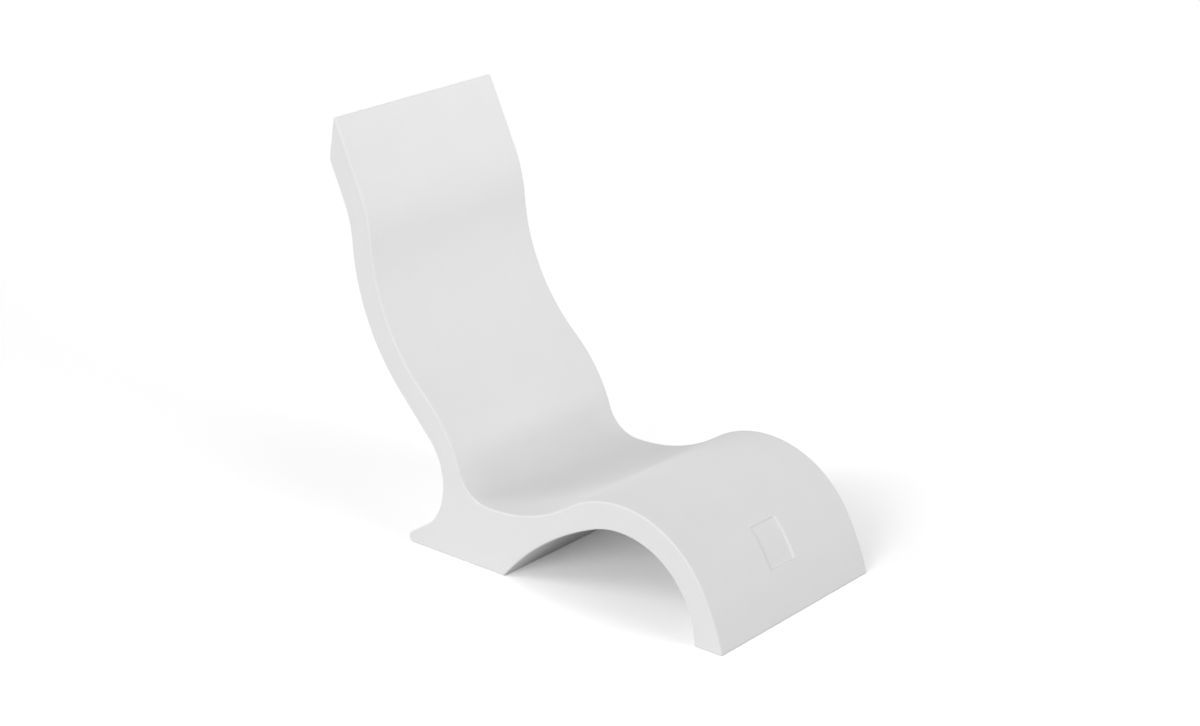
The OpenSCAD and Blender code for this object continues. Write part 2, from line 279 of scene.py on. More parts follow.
class Corner:
    """A rounded corner between two chains, which keeps its centre as the outline is inset."""

    STEP = radians(12)  # how far a flat may turn
    LEAST = 0.05 * MM  # the radius that an inset leaves at least

    def __init__(self, point, into, out, radius):
        self.point, self.into, self.radius = point, into, radius
        self.turn = (out - into + pi) % (2 * pi) - pi
        self.count = max(ceil(abs(self.turn) / self.STEP), 3)

    def trim(self, inset):
        return max(self.radius, inset) * tan(abs(self.turn) / 2)

    def points(self, inset):
        """(y, z, normal's y, normal's z) for each point of the rounding."""
        left = max(self.radius - inset, self.LEAST)
        reach = (inset + left) / cos(self.turn / 2)
        middle = self.into + self.turn / 2
        centre = (self.point[0] + reach * sin(middle), self.point[1] - reach * cos(middle))
        found = []
        for k in range(self.count + 1):
            to = self.into + self.turn * k / self.count + pi / 2
            found.append((centre[0] + left * cos(to), centre[1] + left * sin(to),
                          cos(to), sin(to)))
        return found


class SideOutline:
    """The closed side outline: three chains and the corners between them."""

    def __init__(self, s, ports):
        toe = (0, 0, s.toe_slope)
        seat_moves = [
            (s.shin_r, -s.shin_turn), (s.knee_r, -s.knee_turn), (s.thigh_r, s.thigh_turn),
            (s.hip_r, s.hip_turn), (s.lumbar_r, -s.lumbar_turn),
            (s.shoulder_r, s.shoulder_turn), (s.neck_r, -s.neck_turn), (s.head_l, 0),
        ]
        head_top = end_of(toe, seat_moves)
        head_back = s.head_l - s.end_cut_l
        back_edge = inward(ahead(head_top, -s.end_cut_l), s.band_t)
        back_top = (back_edge[0], back_edge[1], back_edge[2] + pi)

        rear_moves = [(head_back, 0), (s.neck_r - s.band_t, s.neck_turn),
                      (s.shoulder_r + s.band_t, s.small_turn - s.shoulder_turn)]
        small_top = end_of(back_top, rear_moves)
        flare_drop = s.flare_r * (cos(s.flare_slope) - cos(small_top[2]))
        small_l = (s.crease_h + flare_drop - small_top[1]) / sin(small_top[2])
        flare_turn = 2 * pi - s.flare_slope - small_top[2]
        rear_moves += [(small_l, 0), (s.flare_r, flare_turn),
                       (s.crease_r, s.flare_slope - s.tail_slope)]
        tail_top = end_of(back_top, rear_moves)
        rear_moves.append((tail_top[1] / sin(s.tail_slope), 0))
        tail_tip = moved(tail_top, rear_moves[-1])

        knee = inward(moved(toe, seat_moves[0]), s.knee_r)
        arch = (knee[0], knee[1] + s.knee_r - s.crown_t - s.arch_r)
        meet = pi / 2 - s.arch_slope
        far = s.arch_rear_r - s.arch_r
        rear_arch = (arch[0] - far * cos(meet), arch[1] - far * sin(meet))
        low = asin(-rear_arch[1] / s.arch_rear_r)
        heel = (rear_arch[0] + s.arch_rear_r * cos(low), 0, low + pi / 2)
        arch_moves = [(s.arch_rear_r, meet - low),
                      (s.arch_r, pi - asin(-arch[1] / s.arch_r) - meet)]
        toe_inner = end_of(heel, arch_moves)

        cut = heading(head_top, back_top)
        corners = [
            Corner(toe, pi, toe[2], s.toe_outer_r),
            Corner(head_top, head_top[2], cut, s.end_r),
            Corner(back_top, cut, back_top[2], s.end_r),
            Corner(tail_tip, tail_tip[2], pi, s.tip_r),
            Corner(heel, pi, heel[2], s.heel_r),
            Corner(toe_inner, toe_inner[2], pi, s.toe_inner_r),
        ]
        trims = [c.trim(s.edge_r) for c in corners]
        self.seat = Chain(toe, seat_moves, (trims[0], trims[1]))
        self.rear = Chain(back_top, rear_moves, (trims[2], trims[3]))
        self.arch = Chain(heel, arch_moves, (trims[4], trims[5]))
        self.parts = [corners[0], self.seat, corners[1], corners[2], self.rear,
                      corners[3], corners[4], self.arch, corners[5]]

        flare_run = sum(run_of(m) for m in rear_moves[:4])
        self.fill_run = head_back - ports.fill_drop
        self.drain_run = flare_run + s.flare_r * (flare_turn - ports.drain_turn)
        ys = [p[0] for p in self.ring(0)]
        self.middle_y = (min(ys) + max(ys)) / 2

    def ring(self, inset):
        """(y, z, normal's y, normal's z) round the outline, moved inwards by inset."""
        found = []
        for part in self.parts:
            if isinstance(part, Corner):
                found += part.points(inset)
                continue
            for run in part.rows():
                y, z, to = inward(part.at(run), inset)
                found.append((y, z, -sin(to), cos(to)))
        return found

    def index_of(self, chain, run):
        """Where in the ring the row of a chain at this distance is."""
        before = 0
        for part in self.parts:
            if part is chain:
                rows = part.rows()
                return before + min(range(len(rows)), key=lambda k: abs(rows[k] - run))
            before += part.count + 1 if isinstance(part, Corner) else len(part.rows())


# Meshes made of rows of points that know their own normals


class Skin:
    """Points with their normals, and the faces between them."""

    def __init__(self):
        self.points, self.normals, self.faces = [], [], []

    def add(self, point, normal):
        self.points.append(Vector(point))
        self.normals.append(Vector(normal).normalized())
        return len(self.points) - 1

    def row(self, pairs):
        return [self.add(point, normal) for point, normal in pairs]

    def join(self, a, b, closed=False):
        """Faces between two rows of as many points."""
        count = len(a)
        for k in range(count if closed else count - 1):
            self.faces.append((a[k], a[(k + 1) % count], b[(k + 1) % count], b[k]))

    def mesh_object(self, name):
        made = closed_object(name, self.points, self.faces)
        made.data.normals_split_custom_set_from_vertices(self.normals)
        return made


def closed_object(name, points, faces):
    """A smooth object whose faces all turn outwards. Raises an error if it isn't closed."""
    mesh = bpy.data.meshes.new(name)
    mesh.from_pydata(points, [], faces)
    work = bmesh.new()
    work.from_mesh(mesh)
    if any(len(e.link_faces) != 2 for e in work.edges):
        raise RuntimeError(f"{name} isn't closed")
    bmesh.ops.recalc_face_normals(work, faces=work.faces)
    work.to_mesh(mesh)
    work.free()
    mesh.polygons.foreach_set("use_smooth", [True] * len(mesh.polygons))
    made = bpy.data.objects.new(name, mesh)
    bpy.context.scene.collection.objects.link(made)
    return made


class Turning:
    """A piece turned about a port's axis: rings of points, one for each of its columns."""

    CRISP = radians(40)  # faces that meet at more than this share a crisp edge

    def __init__(self, port, columns):
        self.port, self.columns = port, columns
        self.points, self.faces = [], []

    def outline(self, places, height):
        """A ring through these places (x, v) at a height above the face."""
        first = len(self.points)
        self.points += [self.port.place(x, v, height) for x, v in places]
        return list(range(first, len(self.points)))

    def ring(self, radius, height):
        """A round ring, or one whose radius is worked out for each column."""
        found = [radius(a) if callable(radius) else radius for a in self.columns]
        return self.outline([(r * cos(a), r * sin(a)) for r, a in zip(found, self.columns)],
                            height)

    def join(self, rings):
        for a, b in zip(rings, rings[1:]):
            for k in range(len(a)):
                n = (k + 1) % len(a)
                self.faces.append((a[k], a[n], b[n], b[k]))

    def thread(self, low_ring, high_ring, low, high, lead, rows, radius):
        """A right-hand thread between two rings. rows holds each row's share of the lead and
        of the depth, and radius gives the radius for a share of the depth at a height."""
        count, turns = len(rows), ceil((high - low) / lead) + 1
        near = lead / 40  # a point this near an end ring is the ring's own
        found = {}

        def at(i, j):
            if j == len(self.columns):
                i, j = i + count, 0
            turn, k = divmod(i, count)
            w = low + lead * (turn + rows[k][0] + self.columns[j] / (2 * pi))
            if w < low + near:
                return low_ring[j]
            if w > high - near:
                return high_ring[j]
            if (i, j) not in found:
                a, r = self.columns[j], radius(rows[k][1], w)
                found[i, j] = len(self.points)
                self.points.append(self.port.place(r * cos(a), r * sin(a), w))
            return found[i, j]

        for i in range(-2 * count, turns * count):
            for j in range(len(self.columns)):
                corners = (at(i, j), at(i, j + 1), at(i + 1, j + 1), at(i + 1, j))
                face = list(dict.fromkeys(corners))
                if len(face) > 2:
                    self.faces.append(face)

    def mesh_object(self, name):
        """A closed object with smooth faces and crisp edges."""
        made = closed_object(name, self.points, self.faces)
        made.data.set_sharp_from_angle(angle=self.CRISP)
        return made


def edge_profile(start, depth, lip, root, steps=5):
    """A sunk edge as (step outwards, depth, lean of the normal): a lip, a wall and a root.

    Rows that fall together, as where there is no wall or no root, are one."""
    quarter = [pi / 2 * k / steps for k in range(steps + 1)]
    rows = [(lip * (1 - sin(a)), start + lip * (1 - cos(a)), a) for a in quarter]
    rows += [(root * (sin(a) - 1), depth - root * (1 - cos(a)), a) for a in reversed(quarter)]
    return rows[:1] + [r for last, r in zip(rows, rows[1:])
                       if hypot(r[0] - last[0], r[1] - last[1]) > SAME]


def half_circle(radius, steps):
    """The half of a circle at +X, from -v to +v, without its two end points."""
    turns = [pi * (k + 0.5) / steps - pi / 2 for k in range(steps)]
    return [(radius * cos(a), radius * sin(a), cos(a), sin(a)) for a in turns]


def half_rectangle(width, height, radius, side_steps, corner_steps=6):
    """The half of a rounded rectangle at +X, as (x, v, normal's x, normal's v)."""
    found = []
    x, v = width / 2 - radius, height / 2 - radius
    for k in range(corner_steps + 1):
        a = pi / 2 * k / corner_steps - pi / 2
        found.append((x + radius * cos(a), -v + radius * sin(a), cos(a), sin(a)))
    found += [(width / 2, v * (2 * k / side_steps - 1), 1, 0) for k in range(1, side_steps)]
    return found + [(p[0], -p[1], p[2], -p[3]) for p in reversed(found[:corner_steps + 1])]


def sink(skin, left, right, loops):
    """Leads a window's two sides, from low to high, down through loops of half outlines.

    Each loop is a list of (x, point's y, point's z, normal) for the half at +X."""
    for loop in loops:
        halves = [skin.row([((side * x, y, z), (side * n[0], n[1], n[2])) for x, y, z, n in loop])
                  for side in (-1, 1)]
        skin.join(left, halves[0])
        skin.join(right, halves[1])
        skin.faces.append((left[0], halves[0][0], halves[1][0], right[0]))
        skin.faces.append((left[-1], halves[0][-1], halves[1][-1], right[-1]))
        left, right = halves
    skin.join(left, right)


# Finishes


def node(tree, kind, inputs=None, **settings):
    """Adds a node with its settings, and fills its sockets with values, with other nodes' outputs,
    or with other nodes, of which the first output is meant."""
    made = tree.nodes.new(f"ShaderNode{kind}")
    for name, value in settings.items():
        setattr(made, name, value)
    for socket, value in (inputs or {}).items():
        if isinstance(value, bpy.types.Node):
            value = value.outputs[0]
        if isinstance(value, bpy.types.NodeSocket):
            tree.links.new(value, made.inputs[socket])
        else:
            made.inputs[socket].default_value = value
    return made


def new_material(name):
    """An empty material, with its node tree."""
    material = bpy.data.materials.new(name)
    material.use_nodes = True
    material.node_tree.nodes.clear()
    return material, material.node_tree


def per_metre(millimetres):
    """The scale of a pattern whose features are this far apart."""
    return 1 / (millimetres * MM)


def rgba(group_colour):
    return (*group_colour, 1)


def rotomoulded_polyethylene(colours):
    """Polyethylene powder fused against a blasted mould: a satin face with a fine pebble."""
    material, tree = new_material("rotomoulded_polyethylene")
    place = node(tree, "TexCoord").outputs["Object"]
    # The mould's blasted face leaves a pebble about 1.5 mm across
    pebble = node(tree, "TexNoise",
                  {"Vector": place, "Scale": per_metre(1.5), "Detail": 2, "Roughness": 0.5})
    # Powder of uneven flow gives a faint mottle, a hand's width across
    mottle = node(tree, "TexNoise",
                  {"Vector": place, "Scale": per_metre(90), "Detail": 3, "Roughness": 0.55})
    # The wall cools unevenly, so broad faces are never quite flat
    warp = node(tree, "TexNoise",
                {"Vector": place, "Scale": per_metre(220), "Detail": 1, "Roughness": 0.4})
    warped = node(tree, "Bump", {"Strength": 0.25, "Distance": 1.2 * MM, "Height": warp})
    pebbled = node(tree, "Bump", {"Strength": 0.3, "Distance": 0.04 * MM, "Height": pebble,
                                  "Normal": warped})
    tone = node(tree, "Mix", {"Factor": mottle, "A": rgba(colours.shell),
                              "B": rgba(colours.shell_shade)}, data_type="RGBA")
    gloss = node(tree, "MapRange", {"Value": mottle, "From Min": 0.3, "From Max": 0.7,
                                    "To Min": 0.55, "To Max": 0.62})
    skin = node(tree, "BsdfPrincipled", {"Base Color": tone.outputs["Result"],
                                         "Roughness": gloss, "IOR": 1.5, "Normal": pebbled})
    node(tree, "OutputMaterial", {"Surface": skin})
    return material


def moulded_plug_plastic(colours):
    """Injection-moulded polyethylene: an even satin with a spark-eroded grain."""
    material, tree = new_material("injection_moulded_polyethylene")
    place = node(tree, "TexCoord").outputs["Object"]
    # Spark erosion leaves a grain of 0.3 mm, drawn at 0.6 mm so that it shows
    grain = node(tree, "TexNoise",
                 {"Vector": place, "Scale": per_metre(0.6), "Detail": 1, "Roughness": 0.5})
    grained = node(tree, "Bump", {"Strength": 0.2, "Distance": 0.02 * MM, "Height": grain})
    gloss = node(tree, "MapRange", {"Value": grain, "To Min": 0.38, "To Max": 0.46})
    skin = node(tree, "BsdfPrincipled", {"Base Color": rgba(colours.plug), "Roughness": gloss,
                                         "IOR": 1.5, "Normal": grained})
    node(tree, "OutputMaterial", {"Surface": skin})
    return material


def turned_brass(colours):
    """Brass turned on a lathe: a bright warm metal, dulled in small patches by the water."""
    material, tree = new_material("turned_brass")
    place = node(tree, "TexCoord").outputs["Object"]
    dulling = node(tree, "TexNoise",
                   {"Vector": place, "Scale": per_metre(6), "Detail": 3, "Roughness": 0.6})
    gloss = node(tree, "MapRange", {"Value": dulling, "To Min": 0.24, "To Max": 0.42})
    skin = node(tree, "BsdfPrincipled", {"Base Color": rgba(colours.brass), "Metallic": 1,
                                         "Roughness": gloss})
    node(tree, "OutputMaterial", {"Surface": skin})
    return material


def moulded_rubber(colours):
    """Black EPDM, pressed in a mould: matt, and a little glossier where no bloom lies."""
    material, tree = new_material("moulded_epdm_rubber")
    place = node(tree, "TexCoord").outputs["Object"]
    bloom = node(tree, "TexNoise",
                 {"Vector": place, "Scale": per_metre(4), "Detail": 2, "Roughness": 0.5})
    gloss = node(tree, "MapRange", {"Value": bloom, "To Min": 0.62, "To Max": 0.8})
    skin = node(tree, "BsdfPrincipled", {"Base Color": rgba(colours.rubber), "Roughness": gloss,
                                         "IOR": 1.52})
    node(tree, "OutputMaterial", {"Surface": skin})
    return material


# Pieces


RECESS_SIDE_STEPS = 12  # flats along an upright side of the recess
PORT_STEPS = 32  # flats round half a pocket
EDGE_STEPS = 8  # flats in the rounding of a side edge
RING_STEPS = 96  # flats round an insert, a gasket and a head without notches
WINDOW_MARGIN = 9 * MM  # plain face kept round the recess and the pockets
MOULD_GAP = 0.1 * MM  # between an insert and the plastic round it
PLUG_GAP = 0.1 * MM  # how far a plug's thread stays inside the port radius


def side_outline(scene):
    return SideOutline(scene.lounger_shell, scene.lounger_ports)


def recess_loops(outline, recess, middle):
    """The recess's half loops, from its mouth to its floor."""
    loops = []
    for out, depth, lean in edge_profile(0, recess.depth, recess.lip_r, recess.root_r):
        half = half_rectangle(recess.width + 2 * out, recess.height + 2 * out,
                              recess.corner_r + out, RECESS_SIDE_STEPS)
        loop = []
        for x, v, nx, nv in half:
            y, z, to = outline.seat.at(middle + v)
            up, along = (-sin(to), cos(to)), (cos(to), sin(to))
            normal = (-nx * sin(lean),
                      up[0] * cos(lean) - along[0] * nv * sin(lean),
                      up[1] * cos(lean) - along[1] * nv * sin(lean))
            loop.append((x, y - depth * up[0] - outline.middle_y, z - depth * up[1], normal))
        loops.append(loop)
    return loops


class Port:
    """A port's frame on the rear face: its middle, and its two directions in the side view."""

    REACH = 50 * MM  # how far along the face heights are looked for
    HALVINGS = 40

    def __init__(self, outline, run):
        y, z, to = outline.rear.at(run)
        self.run, self.outline = run, outline
        self.middle = (y - outline.middle_y, z)
        self.along, self.out = (cos(to), sin(to)), (-sin(to), cos(to))

    def place(self, x, v, w):
        """A point x across, v along the face and w out of it."""
        return (x, self.middle[0] + v * self.along[0] + w * self.out[0],
                self.middle[1] + v * self.along[1] + w * self.out[1])

    def turned(self, x, v, w):
        """A direction given in the port's frame."""
        return (x, v * self.along[0] + w * self.out[0], v * self.along[1] + w * self.out[1])

    def face_height(self, v):
        """How far the face stands out beside the port, v along it, and how it leans there."""
        low, high = self.run - self.REACH, self.run + self.REACH
        for _ in range(self.HALVINGS):
            between = (low + high) / 2
            y, z, to = self.outline.rear.at(between)
            dy, dz = y - self.outline.middle_y - self.middle[0], z - self.middle[1]
            if dy * self.along[0] + dz * self.along[1] < v:
                low = between
            else:
                high = between
        lean = atan2(self.along[1], self.along[0]) - to
        return dy * self.out[0] + dz * self.out[1], lean


def port_loops(port, sizes):
    """A port's half loops: the pocket's mouth, wall and floor, the seat of the insert with the
    groove for its collar, and the chamber that shows behind it."""
    small_edge = 0.3 * MM
    insert_r = sizes.port_r + sizes.insert_wall + MOULD_GAP
    top = sizes.pocket_d + (sizes.insert_l - sizes.collar_t) / 2
    foot = sizes.pocket_d + sizes.insert_l
    stages = [
        (sizes.pocket_r, edge_profile(0, sizes.pocket_d, sizes.pocket_lip, sizes.pocket_root)),
        (insert_r, edge_profile(sizes.pocket_d, top, small_edge, 0, 2)),
        (insert_r + sizes.collar_out, [(0, top, pi / 2), (0, top + sizes.collar_t, pi / 2)]),
        (insert_r, [(0, top + sizes.collar_t, pi / 2), (0, foot, pi / 2)]),
        (sizes.port_r, [(0, foot, pi / 2), (0, foot + sizes.wall, pi / 2)]),
        (sizes.chamber_r, [(0, foot + sizes.wall, pi / 2), (0, sizes.chamber_d, pi / 2)]),
    ]
    loops = []
    for radius, profile in stages:
        for out, depth, lean in profile:
            loop = []
            for x, v, nx, nv in half_circle(radius + out, PORT_STEPS + 1):
                height, tilt = port.face_height(v) if depth <= sizes.pocket_lip else (0, 0)
                face = port.turned(0, sin(tilt) * cos(lean), cos(tilt) * cos(lean))
                wall = port.turned(-nx * sin(lean), -nv * sin(lean), 0)
                normal = [f + g for f, g in zip(face, wall)]
                loop.append((*port.place(x, v, height - depth), normal))
            loops.append(loop)
    return loops


def shell_windows(outline, recess, ports):
    """Opens the outline for the recess and both pockets. Returns, for each, its chain, the rows
    that the chain has there, half the window's width and the half loops."""
    middle = recess.start + recess.height / 2
    found = [(outline.seat, middle, recess.height / 2, recess.width / 2,
              recess_loops(outline, recess, middle))]
    for run in (outline.fill_run, outline.drain_run):
        found.append((outline.rear, run, ports.pocket_r, ports.pocket_r,
                      port_loops(Port(outline, run), ports)))
    windows = []
    for chain, run, half_height, half_width, loops in found:
        half, steps = half_height + WINDOW_MARGIN, len(loops[0]) - 1
        rows = [run + half * (2 * k / steps - 1) for k in range(steps + 1)]
        chain.open_window(rows)
        windows.append((chain, rows, half_width + WINDOW_MARGIN, loops))
    return windows


def add_side(skin, outline, s, side):
    """A side face with its round edge. Returns the row where the edge ends."""
    draft, rings = tan(s.side_draft), []
    for k in range(EDGE_STEPS + 1):
        a = pi / 2 * k / EDGE_STEPS
        inset, depth = s.edge_r * (1 - sin(a)), s.edge_r * (1 - cos(a))
        rings.append(skin.row([
            ((side * (s.body_w / 2 - depth - z * draft), y - outline.middle_y, z),
             (side * cos(a), ny * sin(a), nz * sin(a) + draft * cos(a)))
            for y, z, ny, nz in outline.ring(inset)]))
    for a, b in zip(rings, rings[1:]):
        skin.join(a, b, closed=True)
    skin.faces.append(rings[0])
    return rings[-1]


def add_windows(skin, outline, windows):
    """Sinks the windows. Returns, for each row of the outline, the edges beside an open window,
    and the two corners of one that begins or ends there."""
    edge, opened, beside = outline.ring(0), {}, {}
    for chain, rows, half, loops in windows:
        first, last = outline.index_of(chain, rows[0]), len(rows) - 1
        halves = [skin.row([((side * half, y - outline.middle_y, z), (0, ny, nz))
                            for y, z, ny, nz in edge[first:first + last + 1]])
                  for side in (-1, 1)]
        sink(skin, *halves, loops)
        for k in range(last):
            opened[first + k] = [(h[k], h[k + 1]) for h in halves]
        beside[first - 1] = [h[0] for h in halves]
        beside[first + last] = [h[last] for h in halves]
    return opened, beside


def add_strips(skin, left, right, opened, beside):
    """The broad strips across the width, opened where a window lies."""
    for k in range(len(left)):
        n = (k + 1) % len(left)
        if k in opened:
            for edge, (a, b) in zip((left, right), opened[k]):
                skin.faces.append((edge[k], edge[n], b, a))
        elif k in beside:
            # The strip's edge at the window runs by the window's corners
            a, b = beside[k]
            near, far = (n, k) if k + 1 in opened else (k, n)
            skin.faces.append((left[far], left[near], a, b, right[near], right[far]))
        else:
            skin.faces.append((left[k], left[n], right[n], right[k]))


class LOUNGER_OT_shell(Operator):
    """Build the moulded shell, with round edges, the bare recess and both ports' pockets"""

    bl_idname = "lounger.shell"
    bl_label = "Shell"

    def execute(self, context):
        scene = context.scene
        outline, skin = side_outline(scene), Skin()
        windows = shell_windows(outline, scene.lounger_recess, scene.lounger_ports)
        left, right = [add_side(skin, outline, scene.lounger_shell, side) for side in (-1, 1)]
        add_strips(skin, left, right, *add_windows(skin, outline, windows))

        shell = skin.mesh_object("lounger_shell")
        shell.data.materials.append(rotomoulded_polyethylene(scene.lounger_colours))
        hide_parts("body_shell")
        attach(shell, "shell")
        return {"FINISHED"}


def even_columns(count):
    return [2 * pi * k / count for k in range(count)]


def notched_columns(sizes, in_notch=6, between=4):
    """Angles round a plug's head, closer together in its finger notches."""
    if not sizes.notch_count:
        return even_columns(RING_STEPS)
    half = notch_angle(sizes)
    gap = 2 * pi / sizes.notch_count - 2 * half
    found = []
    for k in range(sizes.notch_count):
        start = 2 * pi * k / sizes.notch_count - half
        found += [start + 2 * half * n / in_notch for n in range(in_notch)]
        found += [start + 2 * half + gap * n / between for n in range(between)]
    return sorted(a % (2 * pi) for a in found)


def notch_angle(sizes):
    """Half the angle that a finger notch takes of the head's rim."""
    away = sizes.head_r + sizes.notch_r / 2
    return acos((sizes.head_r ** 2 + away ** 2 - sizes.notch_r ** 2) / (2 * sizes.head_r * away))


def head_radius(sizes, inset):
    """The radius of a plug's head for each angle, with its finger notches."""
    half = notch_angle(sizes)
    away = sizes.head_r + sizes.notch_r / 2

    def radius(a):
        if not sizes.notch_count:
            return sizes.head_r - inset
        pitch = 2 * pi / sizes.notch_count
        off = (a + pitch / 2) % pitch - pitch / 2
        if abs(off) >= half:
            return sizes.head_r - inset
        dent = sqrt(max(sizes.notch_r ** 2 - (away * sin(off)) ** 2, 0))
        return min(away * cos(off) - dent, sizes.head_r) - inset
    return radius


def slot_outline(sizes, out, count):
    """Places round the coin slot at even steps, its ends round."""
    r = sizes.slot_w / 2 + out
    straight = sizes.slot_l - sizes.slot_w
    whole = 2 * straight + 2 * pi * r
    found = []
    for k in range(count):
        run = whole * k / count
        side, x_sign, v_sign = run, 1, 1
        if run > whole / 2:
            side, v_sign = whole - run, -1
        if side > whole / 4:
            side, x_sign = whole / 2 - side, -1
        arc = pi * r / 2
        if side < arc:
            x, v = straight / 2 + r * cos(side / r), r * sin(side / r)
        else:
            x, v = straight / 2 - (side - arc), r
        found.append((x_sign * x, v_sign * v))
    return found


# One lead of the thread: each row's share of the lead, and of the depth
THREAD_ROWS = [(0.0, 0), (0.17, 0), (0.21, 0.07), (0.25, 0.24), (0.35, 0.76), (0.39, 0.93),
               (0.43, 1), (0.57, 1), (0.61, 0.93), (0.65, 0.76), (0.75, 0.24), (0.79, 0.07),
               (0.83, 0)]
# The shares of a lead in which the two threads fade out at their ends
INSERT_FADE, PLUG_FADE = 0.75, 0.6


def thread_rows(sizes, low):
    """The thread's rows, shifted so that a plug's thread and its insert's have one helix."""
    start = (low + sizes.pocket_d) / sizes.thread_pitch
    return sorted(((share - start) % 1, depth) for share, depth in THREAD_ROWS)


def faded(w, low, high, run_out):
    """How much of its depth a thread has at a height, from none at its ends to all of it."""
    share = min(max(min(high - w, w - low) / run_out, 0), 1)
    return share * share * (3 - 2 * share)


def neck_radius(sizes):
    """The radius of a plug's neck, and of the foot of its thread."""
    return sizes.port_r - PLUG_GAP - sizes.thread_depth


def ports_of(scene):
    outline = side_outline(scene)
    return [("fill", Port(outline, outline.fill_run)), ("drain", Port(outline, outline.drain_run))]


def quarter_steps(radius, steps):
    """Steps of a quarter circle as (how far in from the wall, how far below the top)."""
    turns = [pi / 2 * k / steps for k in range(steps + 1)]
    return [(radius * (1 - cos(a)), radius * (1 - sin(a))) for a in turns]


def finish_piece(piece, material, node_name, body):
    piece.data.materials.append(material)
    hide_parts(node_name)
    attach(piece, body)


class LOUNGER_OT_inserts(Operator):
    """Build both threaded inserts, moulded into the shell at the foot of the pockets"""

    bl_idname = "lounger.inserts"
    bl_label = "Threaded inserts"

    def execute(self, context):
        scene = context.scene
        sizes = scene.lounger_ports
        brass = turned_brass(scene.lounger_colours)
        top, foot = -sizes.pocket_d, -sizes.pocket_d - sizes.insert_l
        mouth, edge = sizes.port_r + sizes.thread_gap, 0.4 * MM
        outer = sizes.port_r + sizes.insert_wall
        collar = outer + sizes.collar_out
        above = top - (sizes.insert_l - sizes.collar_t) / 2
        below = above - sizes.collar_t
        low, high = foot + edge, top - 2 * edge
        # From the bore's foot round the collar to its mouth, as (radius, height)
        outside = [(mouth + edge, foot), (outer - edge, foot), (outer, low), (outer, below),
                   (collar - edge, below), (collar, below + edge), (collar, above - edge),
                   (collar - edge, above), (outer, above), (outer, top - edge),
                   (outer - edge, top), (mouth + 2 * edge, top)]

        def bore(share, w):
            widened = 1 - faded(w, foot, top, sizes.thread_pitch * INSERT_FADE)
            return mouth - sizes.thread_depth * (1 - max(share, widened))

        for name, port in ports_of(scene):
            turning = Turning(port, even_columns(RING_STEPS))
            low_ring, high_ring = turning.ring(mouth, low), turning.ring(mouth, high)
            turning.thread(low_ring, high_ring, low, high, sizes.thread_pitch,
                           thread_rows(sizes, low), bore)
            turning.join([low_ring, *(turning.ring(*place) for place in outside), high_ring])
            finish_piece(turning.mesh_object(f"{name}_threaded_insert"), brass,
                         f"{name}_port_insert", "shell")
        return {"FINISHED"}


class LOUNGER_OT_gaskets(Operator):
    """Build both flat gaskets, squeezed between a plug's head and the pocket's floor"""

    bl_idname = "lounger.gaskets"
    bl_label = "Gaskets"

    def execute(self, context):
        scene = context.scene
        sizes = scene.lounger_ports
        rubber = moulded_rubber(scene.lounger_colours)
        inner, outer = neck_radius(sizes) + sizes.gasket_gap, sizes.head_r - sizes.gasket_in
        half = sizes.gasket_t / 2
        # Squeezed, both edges bulge between the two faces: radius, direction, bulge and steps
        edges = [(outer, 1, 0.5 * MM, 16), (inner, -1, 0.3 * MM, 8)]
        for name, port in ports_of(scene):
            turning = Turning(port, even_columns(RING_STEPS))
            middle, rings = -sizes.pocket_d + half, []
            for radius, out, bulge, steps in edges:
                for k in range(steps + 1):
                    a = out * (pi * k / steps - pi / 2)
                    rings.append(turning.ring(radius - out * bulge * (1 - cos(a)),
                                              middle + half * sin(a)))
            turning.join(rings + rings[:1])
            finish_piece(turning.mesh_object(f"{name}_gasket_ring"), rubber,
                         f"{name}_plug_gasket", f"{name}_gasket")
        return {"FINISHED"}


